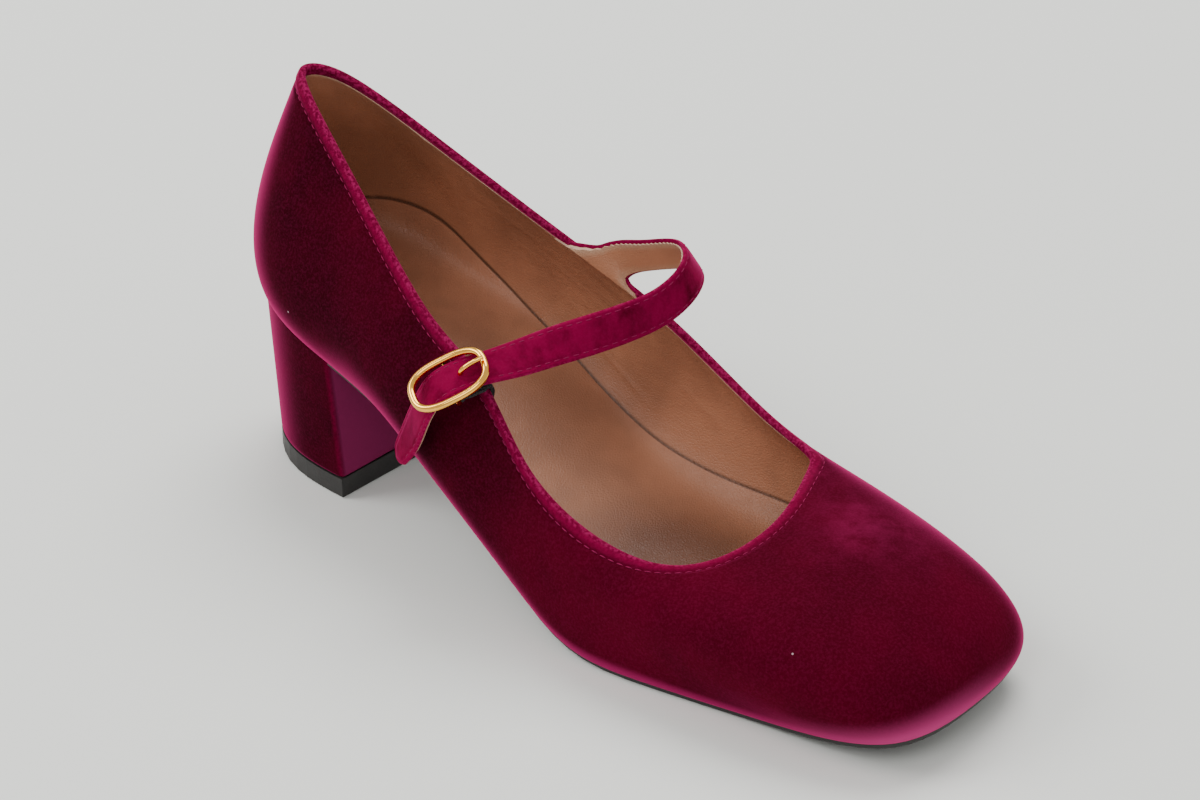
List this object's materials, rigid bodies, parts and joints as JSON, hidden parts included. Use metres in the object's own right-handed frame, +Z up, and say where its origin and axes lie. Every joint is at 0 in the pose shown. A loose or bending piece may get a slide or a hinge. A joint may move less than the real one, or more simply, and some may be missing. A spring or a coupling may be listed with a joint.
{
  "type": "pump",
  "caption": "Right-foot Mary Jane pump with a square toe, a low square throat, a strap with an oval buckle over the instep and a covered block heel.",
  "frame": {"origin": "on the floor, under the middle of the shoe's length and width, strap and buckle included", "axes": "+X from the heel to the toe, +Y to the inner side of the foot, +Z up"},
  "size_m": [0.2458, 0.0896, 0.1087],
  "materials": {
    "upper": "plush velvet with a bound topline and a leather lining",
    "insole": "smooth footbed, slightly glossy",
    "outsole": "matt black",
    "heel": "velvet covered block",
    "heel_tip": "matt black",
    "strap": "velvet, stitched along both edges",
    "elastic": "woven black elastic",
    "buckle": "polished gold colour",
    "prong": "polished gold colour"
  },
  "bodies": {
    "root": {"upper": "upper", "insole": "insole", "outsole": "outsole", "heel": "heel", "heel_tip": "heel_tip", "strap": "strap", "elastic": "elastic", "buckle": "buckle", "prong": "prong"}
  },
  "joints": []
}
